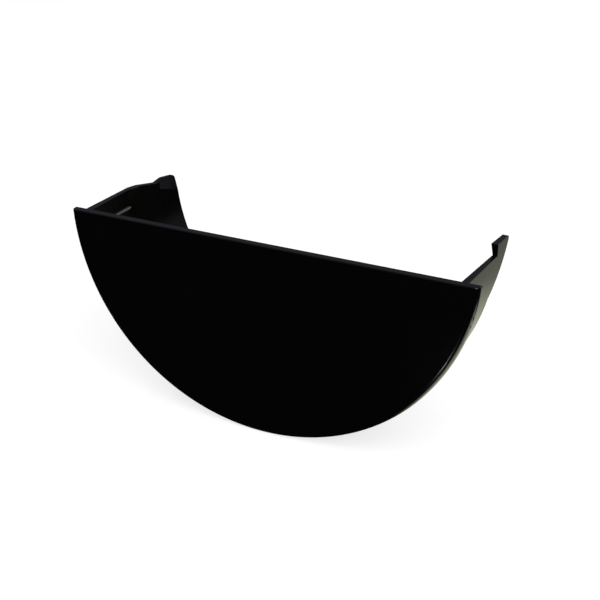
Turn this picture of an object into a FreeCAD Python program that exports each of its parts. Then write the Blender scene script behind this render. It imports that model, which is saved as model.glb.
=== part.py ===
import FreeCAD, Part
import os
from math import radians, sqrt, tan

# External end cap for a half-round rainwater gutter, moulded in one piece.
# Frame, in millimetres: the Y axis is the axis of the socket that the gutter's end sits in,
# +Y the way the gutter leaves, and y = 0 the inner face of the end plate. +Z is up.

# The socket and the half-round shell round it
GUTTER_RADIUS = 56.0
SHELL_WALL = 2.1
SHELL_LENGTH = 21.5
SHELL_DRAFT_DEG = 1.8
TOP_DROP = 1.6
RIM_ROUND = 0.4

# The raised land inside the shell that the gutter beds on
LAND_HEIGHT = 0.8
LAND_SETBACK = 2.5
LAND_TOP_DROP = 4.9
LAND_TOP_CHAMFER = 0.35
LAND_LEAD_IN = 0.6

# The end plate, a larger half disc than the shell and set a little higher
PLATE_LIP = 3.9
PLATE_THICKNESS = 2.4
PLATE_RISE = 3.7
PLATE_BOW_ROUND = 1.5
PLATE_TOP_ROUND = 0.3

# The short clip on the gutter's front side, +X
FRONT_CLIP_LENGTH = 9.3
FRONT_CLIP_HEIGHT = 3.2
FRONT_CLIP_FOOT_DROP = 12.5
FRONT_CLIP_LEAN = 0.6
FRONT_CLIP_END_LEAN = 0.1
FRONT_CLIP_ROUND = 0.8

# The long clip on the gutter's rear side, -X
REAR_CLIP_LENGTH = 23.6
REAR_CLIP_WALL = 1.8
REAR_CLIP_CLEARANCE = 0.25
REAR_CLIP_JOGGLE = 3.2
REAR_CLIP_TOP_DROP = 1.95
REAR_CLIP_NIB_LENGTH = 7.0
REAR_CLIP_NIB_RAMP = 4.0
REAR_CLIP_NIB_HEIGHT = 0.5
REAR_CLIP_NIB_FALL = 1.0
REAR_CLIP_HEEL_DROP = 24.0
REAR_CLIP_FOOT_DROP = 37.0
REAR_CLIP_TOP_ROUND = 1.3
REAR_CLIP_HEEL_ROUND = 6.0

# The lead-in cut into the rear clip's inner face at its end
LEAD_IN_LENGTH = 9.9
LEAD_IN_DEPTH = 1.0
LEAD_IN_FRONT_DROP = 4.1
LEAD_IN_END_DROP = 7.4

# How far one body of the moulding runs into the next where they join
JOIN = 0.5
# The largest gap between two places that count as one
TOUCH = 1e-4

DRAFT = tan(radians(SHELL_DRAFT_DEG))
SHELL_INNER_RADIUS = GUTTER_RADIUS + LAND_HEIGHT
SHELL_OUTER_RADIUS = SHELL_INNER_RADIUS + SHELL_WALL
RIM_INNER_RADIUS = SHELL_INNER_RADIUS + SHELL_LENGTH * DRAFT
PLATE_RADIUS = SHELL_OUTER_RADIUS + PLATE_LIP
TOP_Z = -TOP_DROP
AXIS = FreeCAD.Vector(0, 1, 0)


def polygon(corners):
    points = [FreeCAD.Vector(*corner) for corner in corners]
    return Part.makePolygon(points + points[:1])


def polygon_face(corners):
    return Part.Face(polygon(corners))


def loft(sections):
    """Straight-sided body between polygons that have the same number of corners."""
    return Part.makeLoft([polygon(corners) for corners in sections], True, True)


def ring(section):
    """Full turn about the socket's axis of a section given as (radius, y) corners."""
    face = polygon_face([(0, y, radius) for radius, y in section])
    return face.revolve(FreeCAD.Vector(), AXIS, 360)


def below(top_z, length):
    """The space under a level, from the plate to a distance along the gutter."""
    corner = FreeCAD.Vector(-PLATE_RADIUS, -PLATE_THICKNESS, top_z - PLATE_RADIUS)
    return Part.makeBox(2 * PLATE_RADIUS, PLATE_THICKNESS + length, PLATE_RADIUS, corner)


def side_prism(outline, side):
    """Half of the cap's space, +X or -X, with an outline given as (y, z) corners."""
    face = polygon_face([(0, y, z) for y, z in outline])
    return face.extrude(FreeCAD.Vector(side * PLATE_RADIUS, 0, 0))


def edges_at(shape, y=None, z=None):
    """Edges that lie wholly at the given y or z, or at both."""
    found = shape.Edges
    if y is not None:
        found = [edge for edge in found if all(abs(v.Y - y) < TOUCH for v in edge.Vertexes)]
    if z is not None:
        found = [edge for edge in found if all(abs(v.Z - z) < TOUCH for v in edge.Vertexes)]
    return found


def end_plate():
    """Half disc, well rounded round the bow of its outer face and crisp along its top."""
    centre = FreeCAD.Vector(0, -PLATE_THICKNESS, PLATE_RISE)
    disc = Part.makeCylinder(PLATE_RADIUS, PLATE_THICKNESS, centre, AXIS)
    disc = disc.makeFillet(PLATE_BOW_ROUND, edges_at(disc, y=-PLATE_THICKNESS))
    plate = disc.common(below(TOP_Z, 0))
    back = edges_at(plate, y=0, z=TOP_Z)
    crisp = [edge for edge in edges_at(plate, z=TOP_Z) if not any(edge.isSame(other) for other in back)]
    return plate.makeFillet(PLATE_TOP_ROUND, crisp)


def shell():
    """Half-round wall with a straight outside, and an inside that opens towards the gutter."""
    start_radius = SHELL_INNER_RADIUS - JOIN * DRAFT
    wall = ring([(start_radius, -JOIN), (SHELL_OUTER_RADIUS, -JOIN),
                 (SHELL_OUTER_RADIUS, SHELL_LENGTH), (RIM_INNER_RADIUS, SHELL_LENGTH)])
    wall = wall.makeFillet(RIM_ROUND, edges_at(wall, y=SHELL_LENGTH))
    return wall.common(below(TOP_Z, SHELL_LENGTH))


def land():
    """Raised band inside the shell, true to the gutter's outside, chamfered at its mouth and top ends."""
    root = RIM_INNER_RADIUS + JOIN
    end = SHELL_LENGTH - LAND_SETBACK
    band = ring([(GUTTER_RADIUS, -JOIN), (root, -JOIN), (root, end),
                 (GUTTER_RADIUS + LAND_LEAD_IN, end), (GUTTER_RADIUS, end - LAND_LEAD_IN)])
    high = TOP_Z - LAND_TOP_DROP
    low = high - LAND_TOP_CHAMFER
    edge = GUTTER_RADIUS + LAND_TOP_CHAMFER
    right = [(GUTTER_RADIUS, low), (edge, high), (root, high), (root, -root)]
    outline = [(-x, z) for x, z in reversed(right)] + right
    space = polygon_face([(x, -JOIN, z) for x, z in outline]).extrude(AXIS * (end + JOIN))
    return band.common(space)


def front_clip():
    """Short lug that stands above the shell's rim and leans in over the gutter's front bead."""
    start, end = SHELL_LENGTH - JOIN, SHELL_LENGTH + FRONT_CLIP_LENGTH
    top, foot = TOP_Z + FRONT_CLIP_HEIGHT, TOP_Z - FRONT_CLIP_FOOT_DROP
    wall = ring([(RIM_INNER_RADIUS, start), (SHELL_OUTER_RADIUS, start),
                 (SHELL_OUTER_RADIUS, end), (RIM_INNER_RADIUS, end)])
    inner_x = sqrt(RIM_INNER_RADIUS**2 - TOP_DROP**2)
    back_x = inner_x + SHELL_WALL / 2
    nose = loft([[(inner_x, y, TOP_Z), (back_x, y, TOP_Z), (back_x, y, top), (inner_x - lean, y, top)]
                 for y, lean in ((start, FRONT_CLIP_LEAN), (end, FRONT_CLIP_END_LEAN))])
    outline = side_prism([(SHELL_LENGTH, top), (end, top), (SHELL_LENGTH, foot), (start, foot),
                          (start, TOP_Z - RIM_ROUND), (SHELL_LENGTH, TOP_Z - RIM_ROUND)], 1)
    outline = outline.makeFillet(FRONT_CLIP_ROUND, edges_at(outline, y=end, z=top))
    return wall.fuse(nose).common(outline)


def lead_in(inner_radius, end, top):
    """Wedge cut from the rear clip's inner face, deeper at the end, that guides the gutter in."""
    lip_x = -inner_radius - LEAD_IN_DEPTH
    sections = []
    for y, drop in ((end - LEAD_IN_LENGTH, LEAD_IN_FRONT_DROP), (end + JOIN, LEAD_IN_END_DROP)):
        foot_z = TOP_Z - drop
        foot_x = -sqrt(inner_radius**2 - foot_z**2)
        sections.append([(foot_x, y, foot_z), (lip_x, y, top + JOIN), (0, y, top + JOIN), (0, y, foot_z)])
    return loft(sections)


def rear_clip():
    """Long tongue, set in by a joggle, that ends in a low nib and a lead-in for the gutter."""
    inner = GUTTER_RADIUS + REAR_CLIP_CLEARANCE
    outer = inner + REAR_CLIP_WALL
    root, end = SHELL_LENGTH - REAR_CLIP_WALL, SHELL_LENGTH + REAR_CLIP_LENGTH
    joggled = SHELL_LENGTH + REAR_CLIP_JOGGLE
    root_radius = RIM_INNER_RADIUS - REAR_CLIP_WALL * DRAFT
    wall = ring([(root_radius, root), (SHELL_OUTER_RADIUS, root), (SHELL_OUTER_RADIUS, SHELL_LENGTH),
                 (outer, joggled), (outer, end), (inner, end), (inner, joggled - REAR_CLIP_WALL)])
    low = TOP_Z - REAR_CLIP_TOP_DROP
    nib = low + REAR_CLIP_NIB_HEIGHT
    tail = nib - REAR_CLIP_NIB_FALL
    heel, foot = TOP_Z - REAR_CLIP_HEEL_DROP, TOP_Z - REAR_CLIP_FOOT_DROP
    nib_y = end - REAR_CLIP_NIB_LENGTH
    outline = side_prism([(root, TOP_Z), (joggled, TOP_Z), (nib_y - REAR_CLIP_NIB_RAMP, low), (nib_y, nib),
                          (end, tail), (end, heel), (SHELL_LENGTH, foot), (root, foot)], -1)
    outline = outline.makeFillet(REAR_CLIP_TOP_ROUND, edges_at(outline, y=end, z=tail))
    outline = outline.makeFillet(REAR_CLIP_HEEL_ROUND, edges_at(outline, y=end, z=heel))
    return wall.common(outline).cut(lead_in(inner, end, nib))


def end_cap():
    """The whole moulding as one solid."""
    return end_plate().multiFuse([shell(), land(), front_clip(), rear_clip()]).removeSplitter()


os.makedirs("parts", exist_ok=True)
cap = end_cap()
cap.exportStep("parts/end_cap.step")
print("end_cap valid", cap.isValid(), "solids", len(cap.Solids), "volume", round(cap.Volume, 1))
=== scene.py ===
import bmesh
import bpy
import math
from mathutils import Matrix, Vector


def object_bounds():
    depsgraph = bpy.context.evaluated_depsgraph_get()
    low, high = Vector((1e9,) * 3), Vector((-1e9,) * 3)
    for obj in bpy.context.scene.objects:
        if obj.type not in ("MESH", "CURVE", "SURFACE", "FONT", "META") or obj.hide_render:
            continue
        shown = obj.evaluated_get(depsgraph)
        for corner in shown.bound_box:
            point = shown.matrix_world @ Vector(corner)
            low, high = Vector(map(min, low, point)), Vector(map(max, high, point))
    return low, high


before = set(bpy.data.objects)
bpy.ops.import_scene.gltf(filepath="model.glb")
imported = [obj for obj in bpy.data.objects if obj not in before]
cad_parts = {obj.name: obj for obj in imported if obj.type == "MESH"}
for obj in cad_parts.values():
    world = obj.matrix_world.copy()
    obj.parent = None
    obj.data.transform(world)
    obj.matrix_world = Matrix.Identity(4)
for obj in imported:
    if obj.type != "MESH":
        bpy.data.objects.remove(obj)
cad_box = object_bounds()


# End cap
# The whole cap is one moulding of black unplasticised PVC, shot in a polished steel mould.
# The gutter's end pushes in behind the plate and snaps under the two clips.
MM = 0.001


def srgb(hex_colour):
    """Linear colour of an sRGB hex value."""
    parts = [int(hex_colour[i:i + 2], 16) / 255 for i in (1, 3, 5)]
    return [c / 12.92 if c <= 0.04045 else ((c + 0.055) / 1.055) ** 2.4 for c in parts] + [1.0]


def add_node(tree, kind, settings=None, links=None):
    """A node of that kind, with its sockets or properties set and its inputs linked."""
    node = tree.nodes.new(kind)
    for key, value in (settings or {}).items():
        if isinstance(key, int) or key in node.inputs:
            node.inputs[key].default_value = value
        else:
            setattr(node, key, value)
    for key, output in (links or {}).items():
        tree.links.new(output, node.inputs[key])
    return node


def new_tree(owner):
    """The owner's node tree, emptied."""
    owner.use_nodes = True
    owner.node_tree.nodes.clear()
    return owner.node_tree


# Unplasticised PVC off a polished mould: deep black, a satin gloss that mirrors the pale ground
# at a low angle and varies softly along the melt's flow, the faint ripple of the cooling skin,
# and a fine grain that softens highlights. The grain is drawn coarse enough to show.
UPVC_BLACK = "#030304"
UPVC_IOR = 1.53
SMOOTHEST, ROUGHEST = 0.13, 0.21
NOISE_LOW, NOISE_HIGH = 0.3, 0.7
FLOW_SIZE, FLOW_DETAIL = 14 * MM, 3.0
RIPPLE_SIZE, RIPPLE_DETAIL, RIPPLE_HEIGHT = 5 * MM, 1.0, 0.004 * MM
GRAIN_SIZE, GRAIN_DETAIL, GRAIN_HEIGHT = 0.35 * MM, 2.0, 0.0012 * MM

upvc = bpy.data.materials.new("black_upvc_moulded")
tree = new_tree(upvc)
place = add_node(tree, "ShaderNodeTexCoord").outputs["Object"]
flow = add_node(tree, "ShaderNodeTexNoise", {"Scale": 1 / FLOW_SIZE, "Detail": FLOW_DETAIL},
                {"Vector": place})
roughness = add_node(tree, "ShaderNodeMapRange",
                     {"From Min": NOISE_LOW, "From Max": NOISE_HIGH,
                      "To Min": SMOOTHEST, "To Max": ROUGHEST}, {"Value": flow.outputs["Fac"]})
ripple = add_node(tree, "ShaderNodeTexNoise", {"Scale": 1 / RIPPLE_SIZE, "Detail": RIPPLE_DETAIL},
                  {"Vector": place})
ripple_bump = add_node(tree, "ShaderNodeBump", {"Distance": RIPPLE_HEIGHT},
                       {"Height": ripple.outputs["Fac"]})
grain = add_node(tree, "ShaderNodeTexNoise", {"Scale": 1 / GRAIN_SIZE, "Detail": GRAIN_DETAIL},
                 {"Vector": place})
grain_bump = add_node(tree, "ShaderNodeBump", {"Distance": GRAIN_HEIGHT},
                      {"Height": grain.outputs["Fac"], "Normal": ripple_bump.outputs["Normal"]})
plastic = add_node(tree, "ShaderNodeBsdfPrincipled",
                   {"Base Color": srgb(UPVC_BLACK), "IOR": UPVC_IOR},
                   {"Roughness": roughness.outputs["Result"],
                    "Normal": grain_bump.outputs["Normal"]})
add_node(tree, "ShaderNodeOutputMaterial", links={"Surface": plastic.outputs["BSDF"]})

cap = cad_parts["end_cap"]
for slot in cap.material_slots:
    slot.material = upvc


# Floor
# A plain sheet of white paper under the cap, which the camera sees white, with the cap's shadow.
# In the plastic's gloss it shows painted light instead: a painted spot close by on the right and
# a painted band that runs away from it, brighter near the cap, with near-black painted shade
# everywhere else. This keeps the plastic's front black and its right side grey.
FLOOR_SIZE = 4.0
FLOOR_GLOW = 0.76
PURE_WHITE = "#ffffff"
PAPER_WHITE = "#b0b0b0"
# Painted light for the gloss alone: the colour of the painted pool of light, the level of the
# near-black painted shade around it, and the painted band's and painted spot's levels and edges.
PAINTED_POOL_COLOUR = "#fcfee4"
PAINTED_SHADE_LEVEL = 0.012
NEAR_LEVEL, FAR_LEVEL = 0.86, 0.38
BAND_LEFT_EDGE = (-110 * MM, -75 * MM)
BAND_RIGHT_EDGE = (45 * MM, 5 * MM)
BAND_FRONT_EDGE = (0, 30 * MM)
NEAR_BACK_EDGE = (180 * MM, 60 * MM)
FAR_BACK_EDGE = (280 * MM, 190 * MM)
PAINTED_SPOT_LEVEL = 2.1
PAINTED_SPOT_CENTRE = (87 * MM, 19 * MM, cad_box[0].z)
PAINTED_SPOT_EDGE = (51 * MM, 30 * MM)

floor_mesh = bpy.data.meshes.new("floor")
sheet = bmesh.new()
bmesh.ops.create_grid(sheet, x_segments=1, y_segments=1, size=FLOOR_SIZE / 2)
bmesh.ops.translate(sheet, verts=sheet.verts, vec=(0, 0, cad_box[0].z))
sheet.to_mesh(floor_mesh)
sheet.free()
floor = bpy.data.objects.new("floor", floor_mesh)
bpy.context.collection.objects.link(floor)


def soft_edge(tree, value, span, level=1.0):
    """0 to the level in a soft step as the value goes from one end of the span to the other."""
    settings = {"interpolation_type": "SMOOTHSTEP",
                "From Min": span[0], "From Max": span[1], "To Max": level}
    return add_node(tree, "ShaderNodeMapRange", settings, {"Value": value}).outputs["Result"]


def combined(tree, operation, first, second):
    """The two values put through one maths operation."""
    node = add_node(tree, "ShaderNodeMath", {"operation": operation}, {0: first, 1: second})
    return node.outputs["Value"]


paper = bpy.data.materials.new("white_paper_painted_pool")
tree = new_tree(paper)
place = add_node(tree, "ShaderNodeTexCoord").outputs["Object"]
x, y, _ = add_node(tree, "ShaderNodeSeparateXYZ", links={"Vector": place}).outputs
across = combined(tree, "SUBTRACT", x, y)
width = combined(tree, "MULTIPLY", soft_edge(tree, across, BAND_LEFT_EDGE),
                 soft_edge(tree, across, BAND_RIGHT_EDGE))
fading = combined(tree, "MAXIMUM", soft_edge(tree, y, NEAR_BACK_EDGE, NEAR_LEVEL),
                  soft_edge(tree, y, FAR_BACK_EDGE, FAR_LEVEL))
length = combined(tree, "MULTIPLY", soft_edge(tree, y, BAND_FRONT_EDGE), fading)
from_spot = add_node(tree, "ShaderNodeVectorMath", {"operation": "DISTANCE", 1: PAINTED_SPOT_CENTRE},
                     {0: place})
# The painted pool of light: the painted band or the painted spot, whichever is brighter.
painted_pool = combined(tree, "MAXIMUM", combined(tree, "MULTIPLY", width, length),
               soft_edge(tree, from_spot.outputs["Value"], PAINTED_SPOT_EDGE, PAINTED_SPOT_LEVEL))
level = add_node(tree, "ShaderNodeMath", {"operation": "ADD", 1: PAINTED_SHADE_LEVEL}, {0: painted_pool})
# The floor as the gloss sees it: an emission that paints the pool of light, and near-black painted
# shade everywhere else.
in_gloss = add_node(tree, "ShaderNodeEmission", {"Color": srgb(PAINTED_POOL_COLOUR)},
                    {"Strength": level.outputs["Value"]})
seen = add_node(tree, "ShaderNodeLightPath").outputs
glow = add_node(tree, "ShaderNodeMapRange", {"To Max": FLOOR_GLOW},
                {"Value": seen["Is Camera Ray"]})
white = add_node(tree, "ShaderNodeEmission", {"Color": srgb(PURE_WHITE)},
                 {"Strength": glow.outputs["Result"]})
matt = add_node(tree, "ShaderNodeBsdfDiffuse", {"Color": srgb(PAPER_WHITE)})
direct = add_node(tree, "ShaderNodeAddShader",
                  links={0: white.outputs["Emission"], 1: matt.outputs["BSDF"]})
mirrored = combined(tree, "MAXIMUM", seen["Is Glossy Ray"], seen["Is Transmission Ray"])
either = add_node(tree, "ShaderNodeMixShader", links={0: mirrored, 1: direct.outputs["Shader"],
                                                     2: in_gloss.outputs["Emission"]})
add_node(tree, "ShaderNodeOutputMaterial", links={"Surface": either.outputs["Shader"]})
floor_mesh.materials.append(paper)


# Lights
# A white room to the camera and a dim one in the gloss. The main soft lamp stands above the
# camera and throws the shadow behind the cap, a weak one behind lights the land's top end, and
# a strip low in front draws the streak on the plate's rounded bow.
ROOM_LEVEL = 0.27
GLOSS_LEVEL = 0.12
ROOM_IN_GLOSS = "#eceeff"
FRAME_ORIGIN = (0, 0, 0)
STRIP_X, STRIP_Y, STRIP_Z = 47 * MM, -54 * MM, -58.5 * MM

world = bpy.data.worlds.new("room")
bpy.context.scene.world = world
tree = new_tree(world)
seen = add_node(tree, "ShaderNodeLightPath").outputs
level = add_node(tree, "ShaderNodeMapRange", {"To Min": ROOM_LEVEL, "To Max": 1.0},
                 {"Value": seen["Is Camera Ray"]})
direct = add_node(tree, "ShaderNodeBackground", {"Color": srgb(PURE_WHITE)},
                  {"Strength": level.outputs["Result"]})
in_gloss = add_node(tree, "ShaderNodeBackground",
                    {"Color": srgb(ROOM_IN_GLOSS), "Strength": GLOSS_LEVEL})
mirrored = combined(tree, "MAXIMUM", seen["Is Glossy Ray"], seen["Is Transmission Ray"])
either = add_node(tree, "ShaderNodeMixShader", links={0: mirrored, 1: direct.outputs["Background"],
                                                     2: in_gloss.outputs["Background"]})
add_node(tree, "ShaderNodeOutputWorld", links={"Surface": either.outputs["Shader"]})


def lamp(name, place, aim, size, power):
    """Area lamp, in metres and watts, that faces the aim and isn't seen by the camera."""
    data = bpy.data.lights.new(name, "AREA")
    data.shape = "RECTANGLE"
    data.size, data.size_y = size
    data.energy = power
    holder = bpy.data.objects.new(name, data)
    holder.location = place
    holder.rotation_mode = "QUATERNION"
    holder.rotation_quaternion = (Vector(aim) - Vector(place)).to_track_quat("-Z", "Y")
    holder.visible_camera = False
    bpy.context.collection.objects.link(holder)


lamp("back_lamp", place=(0.30, 0.95, 0.60), aim=FRAME_ORIGIN, size=(0.45, 0.45), power=0.7)
lamp("main_lamp", place=(0.86, -1.40, 1.60), aim=FRAME_ORIGIN, size=(1.7, 1.7), power=36)
lamp("strip_lamp", place=(STRIP_X, STRIP_Y, STRIP_Z), aim=(STRIP_X, STRIP_Y, 0),
     size=(5 * MM, 9 * MM), power=0.0015)


# Camera
# It stands at the photograph's place, to the right of the plate and above it, and is turned
# a little about its line of sight. It was fitted to the cap's outline.
CAMERA_PLACE = (167.2 * MM, -314.6 * MM, 136.1 * MM)
CAMERA_AZIMUTH = math.radians(26.46)
CAMERA_ELEVATION = math.radians(23.43)
CAMERA_ROLL = math.radians(0.74)
CAMERA_LENS = 84.0

camera_data = bpy.data.cameras.new("camera")
camera_data.lens = CAMERA_LENS
camera_data.clip_start = 10 * MM
camera = bpy.data.objects.new("camera", camera_data)
back = Vector((math.sin(CAMERA_AZIMUTH) * math.cos(CAMERA_ELEVATION),
               -math.cos(CAMERA_AZIMUTH) * math.cos(CAMERA_ELEVATION), math.sin(CAMERA_ELEVATION)))
right = Vector((math.cos(CAMERA_AZIMUTH), math.sin(CAMERA_AZIMUTH), 0))
level_axes = Matrix((right, back.cross(right), back)).transposed()
turned = level_axes @ Matrix.Rotation(CAMERA_ROLL, 3, "Z")
camera.matrix_world = Matrix.Translation(CAMERA_PLACE) @ turned.to_4x4()
bpy.context.collection.objects.link(camera)
bpy.context.scene.camera = camera
bpy.context.scene.view_settings.view_transform = "Standard"
